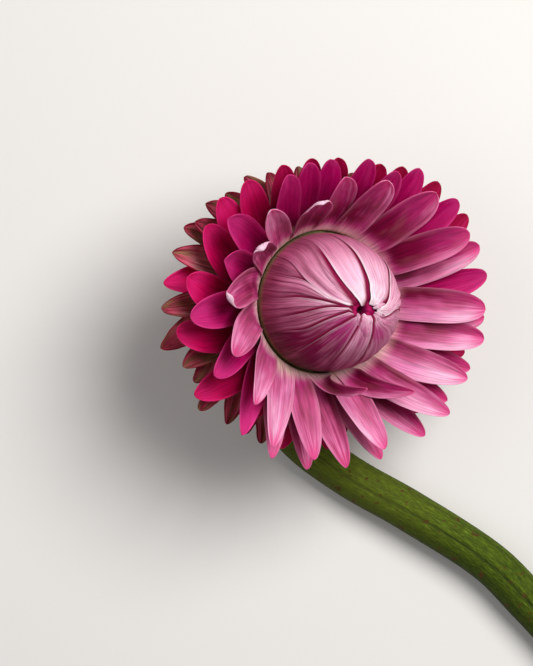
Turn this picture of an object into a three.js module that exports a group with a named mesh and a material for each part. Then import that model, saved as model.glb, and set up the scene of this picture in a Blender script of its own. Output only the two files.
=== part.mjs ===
// A cut strawflower lying on a table: a half-open head of papery bracts, its closed bud, receptacle and bent stem.
// Millimetres, +Z up. Seen from straight above, +X is to the right and +Y is up.
import * as THREE from 'three';

// The head leans to the right of straight up, so the half-open face looks up and a little aside
const leanDegrees = 27;
const headingDegrees = -7;
const ringHeight = 20.5;

// Bud and receptacle, measured from the ring where the bud meets the open bracts
const budFootRadius = 9.1;
const budWidestRadius = 9.7;
const budHeight = 14.2;
const budDimple = 0.4;
const budFullness = 0.92;
const budRings = 8;
const turnedSides = 24;
const seatGap = 0.3;
const receptacleDepth = 9.2;

// Stem
const stemDiameter = 6;
const stemSides = 12;
const stemSteps = 46;
const neckLead = 1.2;
const neckBends = [0, 22, 45, 68, 90];

// Bracts
const bractThickness = 0.4;
const bractTipWidth = 0.7;
const widestAlong = 0.68;
const shoulderAlong = 0.62;
const tipRoundness = 2.2;
const elbowShare = 0.42;
const lengthCells = 7;
const tipCrowding = 1.35;

// The origin is on the table, under the middle of the whole flower's box
const fromRingToOrigin = new THREE.Vector3(-22.18, 25.25, 0.07);

const degrees = Math.PI / 180;
const lean = leanDegrees * degrees;
const heading = headingDegrees * degrees;

const headAxis = new THREE.Vector3(
  Math.sin(lean) * Math.cos(heading),
  Math.sin(lean) * Math.sin(heading),
  Math.cos(lean)
);
const headRight = new THREE.Vector3(
  Math.cos(lean) * Math.cos(heading),
  Math.cos(lean) * Math.sin(heading),
  -Math.sin(lean)
);
const headUp = new THREE.Vector3().crossVectors(headAxis, headRight);
const ringCentre = new THREE.Vector3(0, 0, ringHeight);

// Radius and rise of the receptacle's outline, from under the head to the seat of the bud
const receptacleProfile = [
  [0, -receptacleDepth], [3.7, -receptacleDepth], [5.2, -8.3], [6.7, -7], [7.6, -5.6], [8.4, -4.4],
  [8.9, -3], [9.3, -1.6], [9.2, -seatGap], [0, -seatGap]
];

// Where the stem lies along the table, after its bend under the head
const stemLies = [
  [-7, -14], [-2.6, -19.4], [4.3, -24.5], [12.7, -29.3], [24, -36.6], [29.7, -42.3], [38, -51], [50, -60], [65, -67]
];

// Each tip is given by its azimuth and reach seen from straight above, and its rise along the head's axis.
// A bract that rises above its neighbours is rooted a little higher too, by the row's layering.
const innerRow = {
  name: 'inner_bract',
  colour: '#d58ab4',
  rootRadius: 9.9,
  rootRise: -1,
  rootSlope: 62,
  firstRoot: 8,
  usualRise: 9.5,
  layering: 0.1,
  clawWidth: 2.7,
  width: 4.1,
  channel: 0.22,
  tips: [
    [357.5, 22.3, 9], [25, 22, 10], [44, 21.1, 10], [62, 18.2, 10], [80, 16.8, 10], [89, 13.5, 11],
    [118, 13.9, 10], [135, 10.5, 10], [175, 11.9, 9], [209, 14.2, 9], [237, 16.2, 9], [251, 20.4, 8.5],
    [267, 21.1, 8.5], [297, 13.4, 10.5], [293, 21.5, 8.5], [319, 23, 9], [332, 22.4, 9], [347, 22.8, 9]
  ]
};
const middleRow = {
  name: 'middle_bract',
  colour: '#b01672',
  rootRadius: 9.65,
  rootRise: -2.9,
  rootSlope: 42,
  firstRoot: -7,
  usualRise: 6.2,
  layering: 0.35,
  clawWidth: 2.2,
  width: 4.1,
  channel: 0.2,
  tips: [
    [355, 22.4, 6.5], [10, 23.1, 5.5], [20, 23.1, 7], [37, 23.2, 6.2], [54, 22.3, 6.8], [61, 20, 8.3],
    [72, 20, 7.2], [87, 19, 5], [96, 18.4, 6.8], [106, 17.2, 8], [136, 16.6, 6], [158, 14, 6.8],
    [187, 17.6, 5.8], [214, 17.4, 6.4], [239, 20.7, 5.6], [252, 22, 5.2], [265, 22.6, 4.2],
    [278, 22.6, 5.6], [291, 22.8, 4.4], [308, 23, 5.4], [322, 21.8, 6.4], [336, 22.4, 5.5]
  ]
};
const outerRow = {
  name: 'outer_bract',
  colour: '#9a4a55',
  rootRadius: 7.9,
  rootRise: -6.2,
  rootSlope: 4,
  firstRoot: 0,
  usualRise: 0,
  layering: 0,
  clawWidth: 2.2,
  width: 3.9,
  channel: 0.12,
  tips: [
    [353, 12.8, -12.4], [30, 14.5, -12.9], [58, 16.5, -9.5], [80, 18, -8.5], [100, 19, -7.5], [122, 20, -6],
    [140, 20.5, -4.5], [152, 21, -3.5], [174, 21.3, -3.2], [196, 22.5, -3], [212, 20.4, -4],
    [232, 21, -3.5], [247, 21, -5], [268, 19.5, -7], [288, 18, -8.5], [306, 16, -9.5], [328, 14, -12.5]
  ]
};

function headPoint(right, up, rise) {
  return ringCentre.clone()
    .addScaledVector(headRight, right)
    .addScaledVector(headUp, up)
    .addScaledVector(headAxis, rise);
}

// A tip's place, worked back from where it shows from above and how far it rises
function tipPoint([azimuth, reach, rise]) {
  const fromHeading = azimuth * degrees - heading;
  const right = (reach * Math.cos(fromHeading) - rise * Math.sin(lean)) / Math.cos(lean);
  return headPoint(right, reach * Math.sin(fromHeading), rise);
}

function namedMesh(name, geometry, colour, roughness) {
  const material = new THREE.MeshStandardMaterial({ color: colour, roughness, metalness: 0 });
  const mesh = new THREE.Mesh(geometry, material);
  mesh.name = name;
  return mesh;
}

// Half the bract's width at a place along it: a narrow claw, then the blade, then the rounded tip
function halfWidth(row, along) {
  const widening = THREE.MathUtils.smoothstep(along, 0, widestAlong);
  const blade = THREE.MathUtils.lerp(row.clawWidth, row.width, widening);
  const pastShoulder = Math.max(0, (along - shoulderAlong) / (1 - shoulderAlong));
  const closing = Math.sqrt(Math.max(0, 1 - pastShoulder ** tipRoundness));
  return Math.max(blade * closing, bractTipWidth) / 2;
}

// The bract's midrib leaves the receptacle at the row's own slope and bends over to the tip
function midribCurve(row, rootAzimuth, rootRise, tip) {
  const outward = headPoint(Math.cos(rootAzimuth), Math.sin(rootAzimuth), 0).sub(ringCentre);
  const root = headPoint(0, 0, rootRise).addScaledVector(outward, row.rootRadius);
  const slope = row.rootSlope * degrees;
  const toElbow = root.distanceTo(tip) * elbowShare;
  const elbow = root.clone()
    .addScaledVector(outward, toElbow * Math.cos(slope))
    .addScaledVector(headAxis, toElbow * Math.sin(slope));
  return new THREE.QuadraticBezierCurve3(root, elbow, tip);
}

// A thin channelled plate along the midrib, made by bending a flat box
function bractGeometry(row, midrib) {
  const geometry = new THREE.BoxGeometry(2, 1, 1, 2, lengthCells, 1);
  geometry.translate(0, 0.5, 0);
  const places = geometry.attributes.position;
  for (let i = 0; i < places.count; i += 1) {
    const across = places.getX(i);
    const along = 1 - (1 - places.getY(i)) ** tipCrowding;
    const tangent = midrib.getTangent(along);
    const side = new THREE.Vector3().crossVectors(tangent, headAxis).normalize();
    const face = new THREE.Vector3().crossVectors(side, tangent);
    const half = halfWidth(row, along);
    const lift = row.channel * half * across * across + bractThickness * places.getZ(i);
    const place = midrib.getPoint(along)
      .addScaledVector(side, across * half)
      .addScaledVector(face, lift);
    places.setXYZ(i, place.x, place.y, place.z);
  }
  geometry.computeVertexNormals();
  return geometry;
}

function bractRow(row) {
  const group = new THREE.Group();
  const pitch = 360 / row.tips.length;
  row.tips.forEach((tip, index) => {
    const rootAzimuth = (row.firstRoot + index * pitch) * degrees;
    const rootRise = row.rootRise + (tip[2] - row.usualRise) * row.layering;
    const midrib = midribCurve(row, rootAzimuth, rootRise, tipPoint(tip));
    const number = String(index + 1).padStart(2, '0');
    group.add(namedMesh(`${row.name}_${number}`, bractGeometry(row, midrib), row.colour, 0.6));
  });
  return group;
}

// A solid turned about the head's axis, from pairs of radius and rise
function turnedGeometry(profile) {
  const points = profile.map(([radius, rise]) => new THREE.Vector2(radius, rise));
  const geometry = new THREE.LatheGeometry(points, turnedSides);
  geometry.rotateX(Math.PI / 2);
  const turn = new THREE.Matrix4().makeBasis(headRight, headUp, headAxis);
  turn.setPosition(ringCentre);
  geometry.applyMatrix4(turn);
  return geometry;
}

// The closed bud is taller than it is wide, with a small dimple where its bracts meet
function budGeometry() {
  const profile = [[0, 0], [budFootRadius, 0]];
  for (let i = 1; i < budRings; i += 1) {
    const angle = (i / budRings) * (Math.PI / 2);
    profile.push([budWidestRadius * Math.cos(angle) ** budFullness, budHeight * Math.sin(angle)]);
  }
  profile.push([0, budHeight - budDimple]);
  return turnedGeometry(profile);
}

// The stem leaves the receptacle straight back, bends a quarter turn down to the table and lies along it
function stemPath() {
  const start = headPoint(0, 0, -receptacleDepth - seatGap);
  const back = headAxis.clone().negate();
  const ahead = new THREE.Vector3(0, -1, 0);
  const rest = stemDiameter / 2;
  const bendStart = start.clone().addScaledVector(back, neckLead);
  const bendRadius = (bendStart.z - rest) / Math.cos(lean);
  const neck = neckBends.map((bend) => bendStart.clone()
    .addScaledVector(back, bendRadius * Math.sin(bend * degrees))
    .addScaledVector(ahead, bendRadius * (1 - Math.cos(bend * degrees))));
  const lying = stemLies.map(([x, y]) => new THREE.Vector3(x, y, rest));
  return new THREE.CatmullRomCurve3([start, ...neck, ...lying], false, 'centripetal');
}

function stemGeometry() {
  const section = new THREE.Shape();
  section.absarc(0, 0, stemDiameter / 2, 0, 2 * Math.PI);
  return new THREE.ExtrudeGeometry(section, {
    steps: stemSteps,
    curveSegments: stemSides / 2,
    bevelEnabled: false,
    extrudePath: stemPath()
  });
}

const flower = new THREE.Group();
flower.add(namedMesh('stem', stemGeometry(), '#5d7a2a', 0.7));
flower.add(namedMesh('receptacle', turnedGeometry(receptacleProfile), '#b9a883', 0.8));
flower.add(namedMesh('bud', budGeometry(), '#d98ab0', 0.5));
[innerRow, middleRow, outerRow].forEach((row) => flower.add(bractRow(row)));
flower.position.copy(fromRingToOrigin);

const part = new THREE.Group();
part.add(flower);
export default part;
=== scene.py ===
# A cut strawflower lying on a pale table, seen from straight above.
import math
import bpy
import bmesh
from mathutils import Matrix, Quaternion, Vector, noise


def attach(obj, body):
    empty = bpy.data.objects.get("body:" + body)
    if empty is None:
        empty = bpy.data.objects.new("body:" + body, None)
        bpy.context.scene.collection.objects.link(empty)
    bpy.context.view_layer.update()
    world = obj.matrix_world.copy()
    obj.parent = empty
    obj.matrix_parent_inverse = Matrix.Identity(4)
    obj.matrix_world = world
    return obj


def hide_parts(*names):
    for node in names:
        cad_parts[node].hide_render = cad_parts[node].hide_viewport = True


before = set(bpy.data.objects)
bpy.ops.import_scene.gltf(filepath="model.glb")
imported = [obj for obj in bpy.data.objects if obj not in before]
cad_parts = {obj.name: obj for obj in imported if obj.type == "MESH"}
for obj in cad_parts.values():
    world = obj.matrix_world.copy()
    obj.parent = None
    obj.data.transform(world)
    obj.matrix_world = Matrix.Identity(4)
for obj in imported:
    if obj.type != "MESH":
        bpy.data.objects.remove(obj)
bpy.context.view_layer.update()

mm = 0.001
pictureWidth = 533
pictureHeight = 666
pixelsPerMm = 7.4
ringPixel = (322, 302)        # the ring between bud and open bracts, in the photograph
cameraAway = 390 * mm         # above the ring

# The head's own axis leans to the right, as in the CAD
lean = math.radians(27)
heading = math.radians(-7)
headAxis = Vector((math.sin(lean) * math.cos(heading), math.sin(lean) * math.sin(heading), math.cos(lean)))
headRight = Vector((math.cos(lean) * math.cos(heading), math.cos(lean) * math.sin(heading), -math.sin(lean)))
headUp = headAxis.cross(headRight)
ringCentre = Vector((-22.18, 25.25, 20.57)) * mm
ringShift = 0.25              # bud and bract roots stand this far left of the receptacle's middle
mergeDistance = 0.004 * mm


def headPoint(right, up, rise):
    return ringCentre + (headRight * right + headUp * up + headAxis * rise) * mm


def ringPoint(right, up, rise):
    return headPoint(right - ringShift, up, rise)


def outwardAt(azimuth):
    return headRight * math.cos(azimuth) + headUp * math.sin(azimuth)


def tipPoint(azimuth, reach, rise):
    fromHeading = math.radians(azimuth) - heading
    right = (reach * math.cos(fromHeading) - rise * math.sin(lean)) / math.cos(lean)
    return headPoint(right, reach * math.sin(fromHeading), rise)


def smoothStep(low, high, value):
    share = min(1.0, max(0.0, (value - low) / (high - low)))
    return share * share * (3 - 2 * share)


def mix(a, b, share):
    return a + (b - a) * share


def noiseAt(x, y, z):
    return noise.noise(Vector((x, y, z)))


# Materials

def newMaterial(name):
    material = bpy.data.materials.new(name)
    material.use_nodes = True
    tree = material.node_tree
    return material, tree, tree.nodes["Principled BSDF"]


def addNode(tree, kind, **settings):
    node = tree.nodes.new(kind)
    for key, value in settings.items():
        setattr(node, key, value)
    return node


def setInputs(node, values):
    for key, value in values.items():
        node.inputs[key].default_value = value


def mathNode(tree, operation, a, b=None, clamp=False):
    node = addNode(tree, "ShaderNodeMath", operation=operation, use_clamp=clamp)
    for socket, value in zip(node.inputs, (a, b)):
        if value is None:
            continue
        if isinstance(value, (int, float)):
            socket.default_value = value
        else:
            tree.links.new(value, socket)
    return node.outputs[0]


def times(tree, a, b):
    return mathNode(tree, "MULTIPLY", a, b)


def plus(tree, a, b, clamp=False):
    return mathNode(tree, "ADD", a, b, clamp)


def minus(tree, a, b):
    return mathNode(tree, "SUBTRACT", a, b)


def rangeNode(tree, value, low, high, toLow=0.0, toHigh=1.0):
    node = addNode(tree, "ShaderNodeMapRange", interpolation_type="SMOOTHSTEP")
    tree.links.new(value, node.inputs["Value"])
    setInputs(node, {"From Min": low, "From Max": high, "To Min": toLow, "To Max": toHigh})
    return node.outputs["Result"]


def linear(hexColour):
    channels = [int(hexColour[i:i + 2], 16) / 255 for i in (0, 2, 4)]
    return tuple(c / 12.92 if c <= 0.04045 else ((c + 0.055) / 1.055) ** 2.4 for c in channels) + (1.0,)


def rampNode(tree, value, stops):
    node = addNode(tree, "ShaderNodeValToRGB")
    ramp = node.color_ramp
    ramp.interpolation = "EASE"
    while len(ramp.elements) < len(stops):
        ramp.elements.new(0.5)
    for element, (place, colour) in zip(ramp.elements, stops):
        element.position = place
        element.color = linear(colour)
    tree.links.new(value, node.inputs["Fac"])
    return node.outputs["Color"]


def mixColour(tree, factor, a, b, blend="MIX"):
    node = addNode(tree, "ShaderNodeMix", data_type="RGBA", blend_type=blend, clamp_factor=True)
    sockets = (node.inputs[0], node.inputs[6], node.inputs[7])      # factor and the two colours
    for socket, value in zip(sockets, (factor, a, b)):
        if isinstance(value, (int, float, tuple)):
            socket.default_value = value
        else:
            tree.links.new(value, socket)
    return node.outputs[2]


def noiseTexture(tree, vector, scale, detail, roughness=0.5):
    texture = addNode(tree, "ShaderNodeTexNoise")
    setInputs(texture, {"Scale": scale, "Detail": detail, "Roughness": roughness})
    tree.links.new(vector, texture.inputs["Vector"])
    return texture.outputs["Fac"]


def streakNoise(tree, across, along, tone, acrossScale, alongScale, detail=4.0):
    place = addNode(tree, "ShaderNodeCombineXYZ")
    tree.links.new(times(tree, across, acrossScale), place.inputs[0])
    tree.links.new(times(tree, along, alongScale), place.inputs[1])
    tree.links.new(times(tree, tone, 37.0), place.inputs[2])
    return noiseTexture(tree, place.outputs[0], 1.0, detail, 0.6)


def attributeValue(tree, name):
    return addNode(tree, "ShaderNodeAttribute", attribute_name=name).outputs["Fac"]


def grainNoise(tree, scale, detail=2.0):
    coords = addNode(tree, "ShaderNodeTexCoord")
    return noiseTexture(tree, coords.outputs["Object"], scale, detail)


def addBump(tree, shader, height, strength, distance):
    bump = addNode(tree, "ShaderNodeBump")
    setInputs(bump, {"Strength": strength, "Distance": distance * mm})
    tree.links.new(height, bump.inputs["Height"])
    tree.links.new(bump.outputs[0], shader.inputs["Normal"])


# A papery bract: colour runs from its foot to its tip, in fine lengthwise streaks, with a margin of its own.
# The foot is cream, and dark olive where it goes down into the ring: partly its own green, partly painted
# shade of the gap there
def bractMaterial(name, look):
    material, tree, shader = newMaterial(name)
    uv = addNode(tree, "ShaderNodeUVMap", uv_map="bractMap")
    split = addNode(tree, "ShaderNodeSeparateXYZ")
    tree.links.new(uv.outputs[0], split.inputs[0])
    across, along = split.outputs[0], split.outputs[1]
    tone = attributeValue(tree, "tone")
    fromRoot = attributeValue(tree, "fromRoot")
    streaks = streakNoise(tree, across, along, tone, look["streaks"], 1.1)
    fine = streakNoise(tree, across, along, tone, look["streaks"] * 3, 2.5)
    ridges = streakNoise(tree, across, along, tone, look["streaks"] * 2.2, 0.9, 5.0)
    patch = streakNoise(tree, across, along, plus(tree, tone, 0.37), 2.2, 2.6, 2.0)

    # Pale, middling or deep colour, each with its own ramp along the bract. How deep is partly the bract's
    # own colour and partly painted shade
    offMiddle = minus(tree, streaks, 0.5)
    wander = times(tree, times(tree, offMiddle, look["wander"]), rangeNode(tree, along, 0.1, 0.4))
    shifted = plus(tree, along, wander)
    patches = times(tree, minus(tree, patch, 0.5), look["patches"])
    # Deep colour share: partly the bract's own colour, partly painted shade on bracts that lie in shade
    depth = plus(tree, attributeValue(tree, "depth"), patches)
    depth = plus(tree, depth, times(tree, offMiddle, look["mottle"]))
    # One side of each right-hand bract goes deeper: painted shadow of the neighbour above, partly deeper
    # colour
    towardNeighbourShadow = times(tree, minus(tree, 0.5, across), attributeValue(tree, "sideDepth"))
    depth = plus(tree, depth, times(tree, towardNeighbourShadow, look["neighbourShadowAndTintStrength"]), True)
    pastPale = rangeNode(tree, fromRoot, *look["deepFrom"], look["deepAtFoot"], 1.0)
    deepShare = times(tree, depth, pastPale)
    body = rampNode(tree, shifted, look["pale"])
    toDeep = deepShare
    if "mid" in look:
        toMid = rangeNode(tree, deepShare, 0.0, 0.55)
        body = mixColour(tree, toMid, body, rampNode(tree, shifted, look["mid"]))
        toDeep = rangeNode(tree, deepShare, 0.4, 1.0)
    body = mixColour(tree, toDeep, body, rampNode(tree, shifted, look["deep"]))
    stain = rangeNode(tree, patch, 0.45, 0.7, 0.0, look["stain"])
    body = mixColour(tree, stain, body, linear(look["cream"]))

    # Margins, then painted highlights on edges that lie over a neighbour, and the dark lines beside the
    # creases, which are painted shade and partly the deeper colour of covered bracts
    fromCentre = mathNode(tree, "ABSOLUTE", minus(tree, across, 0.5))
    flank = rangeNode(tree, fromCentre, look["marginFrom"], 0.5)
    pastFoot = rangeNode(tree, along, 0.12, 0.45)
    palest = rangeNode(tree, deepShare, 0.0, 1.0, look["marginShare"], look["marginShare"] * 0.35)
    margin = times(tree, times(tree, flank, pastFoot), palest)
    body = mixColour(tree, margin, body, linear(look["margin"]))
    for part in ("paintedEdgeHighlight", "creaseShadeAndTint"):
        body = mixColour(tree, attributeValue(tree, part), body, linear(look[part]))

    # Foot
    pastCream = minus(tree, fromRoot, attributeValue(tree, "paleFoot"))
    ragged = plus(tree, pastCream, times(tree, offMiddle, look["ragged"]))
    cream = rangeNode(tree, ragged, *look["creamFade"], 1.0, 0.0)
    body = mixColour(tree, cream, body, linear(look["cream"]))
    # Dark olive near the root: painted shade of the ring's gap, partly the foot's own green
    olive = rangeNode(tree, fromRoot, *look["ringShadeFade"], 1.0, 0.0)
    body = mixColour(tree, olive, body, linear(look["olive"]))

    streakTone = rangeNode(tree, fine, 0.3, 0.7, 1 - look["contrast"], 1 + look["contrast"] * 0.6)
    grey = addNode(tree, "ShaderNodeCombineColor")
    for socket in grey.inputs:
        tree.links.new(streakTone, socket)
    body = mixColour(tree, 1.0, body, grey.outputs[0], "MULTIPLY")
    tree.links.new(body, shader.inputs["Base Color"])
    height = plus(tree, times(tree, ridges, 0.7), times(tree, fine, 0.3))
    addBump(tree, shader, height, look["bump"], 0.12)
    roughness = rangeNode(tree, fine, 0.2, 0.8, look["gloss"], look["gloss"] + 0.2)
    tree.links.new(roughness, shader.inputs["Roughness"])
    setInputs(shader, {
        "Specular IOR Level": look["shine"],
        "Sheen Weight": look["sheen"], "Sheen Roughness": 0.4, "Sheen Tint": (1.0, 0.35, 0.62, 1),
        "Subsurface Weight": 0.2, "Subsurface Radius": (1.0, 0.35, 0.5), "Subsurface Scale": 0.6 * mm,
    })
    return material


# Every look starts from these values. Fades and deepFrom are distances from the root in mm, and the ramps run
# from the foot (0) to the tip (1)
plainLook = {
    "wander": 0.3, "stain": 0.0, "neighbourShadowAndTintStrength": 0.0, "creaseShadeAndTint": "8c0444", "deepFrom": (0.0, 1.0),
    "deepAtFoot": 1.0,
}
innerLook = {
    **plainLook, "streaks": 6.5, "mottle": 1.0, "patches": 1.2, "marginFrom": 0.36, "marginShare": 0.5,
    "margin": "e89cbc", "contrast": 0.28, "bump": 0.75, "gloss": 0.48, "shine": 0.12, "sheen": 0.03,
    "paintedEdgeHighlight": "f8dfe9", "neighbourShadowAndTintStrength": 1.5, "stain": 0.06, "deepFrom": (1.6, 5.6), "deepAtFoot": 0.2,
    "cream": "dab2a8", "creamFade": (0.3, 4.2), "ragged": 0.8, "olive": "2a2a10", "ringShadeFade": (0.5, 0.85),
    "pale": [(0.0, "cc88a4"), (0.14, "d890b0"), (0.28, "cc709c"), (0.5, "d27aa8"), (0.84, "e8b0cc"),
             (1.0, "dc5c96")],
    "mid": [(0.0, "c47894"), (0.16, "bc6088"), (0.3, "ac3070"), (0.5, "b84a7c"), (0.86, "d676a4"),
            (1.0, "d44888")],
    "deep": [(0.0, "a05070"), (0.16, "8c2050"), (0.28, "66002a"), (0.5, "720034"), (0.8, "a02060"),
             (1.0, "bc2e70")],
}
backRamp = [(0.0, "cfb0a8"), (0.35, "b85a84"), (0.7, "cc7aa0"), (0.86, "d89cb8"), (1.0, "e6c0d2")]
innerBackLook = dict(innerLook, margin="f0d0de", pale=backRamp, mid=backRamp, deep=backRamp)
middleLook = {
    **plainLook, "streaks": 7.0, "mottle": 1.4, "patches": 0.8, "marginFrom": 0.38, "marginShare": 0.45,
    "margin": "d84488", "contrast": 0.22, "bump": 0.6, "gloss": 0.5, "shine": 0.08, "sheen": 0.02,
    "paintedEdgeHighlight": "e890b8", "neighbourShadowAndTintStrength": 0.8,
    "cream": "b89884", "creamFade": (1.2, 3.6), "ragged": 1.6, "olive": "35350f", "ringShadeFade": (0.4, 1.0),
    "pale": [(0.0, "a04870"), (0.26, "96004a"), (0.55, "ba0a64"), (0.9, "ca3480"), (1.0, "c62e74")],
    "deep": [(0.0, "702040"), (0.26, "6c002c"), (0.55, "880042"), (0.9, "a00054"), (1.0, "ac2468")],
}
crimsonLook = {
    **plainLook, "streaks": 7.0, "wander": 0.25, "mottle": 1.2, "patches": 0.8, "marginFrom": 0.4,
    "marginShare": 0.4, "margin": "d83074", "contrast": 0.2, "bump": 0.5, "gloss": 0.5, "shine": 0.12,
    "sheen": 0.01, "paintedEdgeHighlight": "d86090", "neighbourShadowAndTintStrength": 0.4,
    "cream": "8c6450", "creamFade": (0.8, 2.6), "ragged": 1.6, "olive": "35350f", "ringShadeFade": (0.3, 0.9),
    "pale": [(0.0, "7c2040"), (0.35, "aa0040"), (0.7, "c20054"), (0.92, "cc1c6a"), (1.0, "c01058")],
    "deep": [(0.0, "560c24"), (0.35, "64001a"), (0.7, "7c0024"), (0.92, "920038"), (1.0, "88042e")],
}
outerLook = {
    **plainLook, "streaks": 9.0, "wander": 0.5, "mottle": 2.4, "patches": 3.4, "marginFrom": 0.43,
    "marginShare": 1.6, "margin": "84082a", "contrast": 0.42, "bump": 1.0, "gloss": 0.6, "shine": 0.14,
    "sheen": 0.02, "paintedEdgeHighlight": "b06070", "creaseShadeAndTint": "6c1024", "stain": 0.75,
    "cream": "8a7450", "creamFade": (1.0, 5.0), "ragged": 2.4, "olive": "3c3a18", "ringShadeFade": (0.3, 0.9),
    "pale": [(0.0, "8c7450"), (0.4, "b4786a"), (0.65, "c88288"), (0.88, "b84c64"), (1.0, "841030")],
    "deep": [(0.0, "6c5234"), (0.4, "6c1c28"), (0.65, "740a28"), (0.88, "6c0824"), (1.0, "4c0416")],
}


# Bracts

blade = {"cells": (10, 24), "endCrowding": 0.09, "thickness": 0.16, "fullWidthAt": 0.5, "closing": 0.5}
pointedBlade = {"fullWidthAt": 0.28, "closing": 0.72, "shoulder": 0.32, "tipPower": 1.7}
curve = {"rootLean": 0.12, "firstHandle": 0.24, "elbow": 0.42, "elbowToTip": 0.36}
# The lower bracts are more pointed: azimuths where that starts, is full, fades and ends, and how pointed
pointedSides = [(198, 235, 245, 270, 0.6), (245, 270, 330, 352, 0.38)]


def pointedAt(row, azimuth):
    pointed = 0.0
    for start, full, fade, end, most in pointedSides:
        share = smoothStep(start, full, azimuth % 360) * (1 - smoothStep(fade, end, azimuth % 360))
        pointed += most * share
    return max(row["pointed"], pointed)


# Broad with a round end, or narrowing in a point from near the foot
def halfWidth(row, width, along, pointed):
    fullWidthAt = mix(blade["fullWidthAt"], pointedBlade["fullWidthAt"], pointed)
    wide = mix(row["clawWidth"], width, smoothStep(0.05, fullWidthAt, along))
    shoulder = mix(row["shoulder"], pointedBlade["shoulder"], pointed)
    pastShoulder = max(0.0, (along - shoulder) / (1 - shoulder))
    tipPower = mix(row["tipPower"], pointedBlade["tipPower"], pointed)
    closing = mix(blade["closing"], pointedBlade["closing"], pointed)
    return 0.5 * wide * max(0.0, 1 - pastShoulder ** tipPower) ** closing * mm


def bezierPoint(points, t):
    a, b, c, d = points
    s = 1 - t
    return a * s ** 3 + b * 3 * s * s * t + c * 3 * s * t * t + d * t ** 3


def bezierTangent(points, t):
    a, b, c, d = points
    s = 1 - t
    return ((b - a) * s * s + (c - b) * 2 * s * t + (d - c) * t * t).normalized()


# The line a bract follows: up beside the bud, over its shoulder and out to the tip
class Midrib:
    def __init__(self, row, rootAzimuth, rootRise, tip, roll, fold):
        outward = outwardAt(rootAzimuth)
        self.root = ringPoint(0, 0, rootRise) + outward * row["rootRadius"] * mm
        shoulder = self.root + (headAxis + outward * curve["rootLean"]) * row["upright"] * mm
        slope = math.radians(row["rootSlope"])
        length = (tip - shoulder).length
        upOut = outward * math.cos(slope) + headAxis * math.sin(slope)
        handle = shoulder + upOut * length * curve["firstHandle"]
        elbow = shoulder + upOut * length * curve["elbow"]
        self.points = (shoulder, handle, elbow.lerp(tip, curve["elbowToTip"]), tip)
        self.whole = length + row["upright"] * mm
        self.uprightShare = row["upright"] * mm / self.whole
        self.roll = math.radians(roll)
        self.fold = fold
        self.rootSide = outward.cross(headAxis).normalized()
        level = tip - shoulder
        level -= headAxis * level.dot(headAxis)
        self.bladeSide = self.rootSide
        if level.length > 1e-6:
            turned = level.normalized().cross(headAxis).normalized()
            if turned.dot(self.rootSide) >= 0:
                self.bladeSide = turned

    def at(self, along):
        if along < self.uprightShare:
            point = self.root.lerp(self.points[0], along / self.uprightShare)
            tangent = (self.points[0] - self.root).normalized()
            return point, self.rootSide, self.rootSide.cross(tangent)
        place = (along - self.uprightShare) / (1 - self.uprightShare)
        tangent = bezierTangent(self.points, place)
        side = self.rootSide.lerp(self.bladeSide, smoothStep(0.0, 0.5, place))
        side = (side - tangent * side.dot(tangent)).normalized()
        side = Quaternion(tangent, self.roll * smoothStep(0.1, 0.7, place)) @ side
        return bezierPoint(self.points, place), side, side.cross(tangent)

    # A fold turns what lies past a slanting line back over the blade
    def folded(self, point):
        fromTip, turn, slant, radius = self.fold
        centre, side, face = self.at(1 - fromTip * mm / self.whole)
        ahead = face.cross(side)
        slant = math.radians(slant)
        past = ahead * math.cos(slant) + side * math.sin(slant)
        away = (point - centre).dot(past)
        if away <= 0:
            return point
        off = (point - centre).dot(face)
        bend = min(away / (radius * mm), math.radians(turn))
        straight = away - bend * radius * mm
        forward = radius * mm * math.sin(bend) + straight * math.cos(bend) - off * math.sin(bend)
        upward = radius * mm * (1 - math.cos(bend)) + straight * math.sin(bend) + off * math.cos(bend)
        return point - past * away - face * off + past * forward + face * upward


def setAttribute(mesh, name, values):
    layer = mesh.attributes.new(name, "FLOAT", "POINT")
    for item, value in zip(layer.data, values):
        item.value = value


# A flat grid to shape, its new float layers and the place (across, along) of each point, from 0 to 1
def newSheet(cells, layerNames=(), crowding=0.0, uvAcross=(0.0, 1.0), uvAlong=(0.0, 1.0)):
    bm = bmesh.new()
    uvLayer = bm.loops.layers.uv.new("bractMap")
    layers = [bm.verts.layers.float.new(name) for name in layerNames]
    bmesh.ops.create_grid(bm, x_segments=cells[0], y_segments=cells[1], size=0.5)
    places = {}
    for vert in bm.verts:
        along = vert.co.y + 0.5
        places[vert] = (vert.co.x + 0.5, along - crowding * math.sin(2 * math.pi * along))
    for face in bm.faces:
        for loop in face.loops:
            u, along = places[loop.vert]
            loop[uvLayer].uv = (mix(*uvAcross, u), mix(*uvAlong, along))
    return bm, layers, places


# Each value becomes an attribute, the same all over the piece
def smoothMesh(bm, name, **values):
    mesh = bpy.data.meshes.new(name)
    bm.to_mesh(mesh)
    bm.free()
    for key, value in values.items():
        setAttribute(mesh, key, [value] * len(mesh.vertices))
    for polygon in mesh.polygons:
        polygon.use_smooth = True
    return mesh


# How far a point stands off the midrib's own plane: the cup, waves, pleats, crinkles and the sunken vein
def bladeLift(row, seed, across, along, half):
    free = smoothStep(0.08, 0.35, along)
    wave = noiseAt(seed * 4.8, along * 2.9, across * 1.3) * row["wave"]
    edgeWave = noiseAt(along * row["edgeTurns"], seed * 1.9, across * 0.8) * row["edgeWave"]
    pleat = noiseAt(across * 4.2, along * 1.1, seed * 5.1) * row["pleat"]
    crinkle = noiseAt(across * 3.1 + seed, along * 13, seed * 2.2) * row["crinkle"]
    vein = row["vein"] * math.exp(-(across / 0.12) ** 2) * (1 - along)
    ringCurve = half / (2 * row["rootRadius"] * mm)
    channel = row["channel"] * mix(1.0, row["tipCup"], smoothStep(0.5, 1.0, along))
    cup = mix(ringCurve, channel, free)
    uneven = wave + edgeWave * across * across + pleat + crinkle - vein
    return cup * half * across * across + uneven * free * mm


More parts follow.
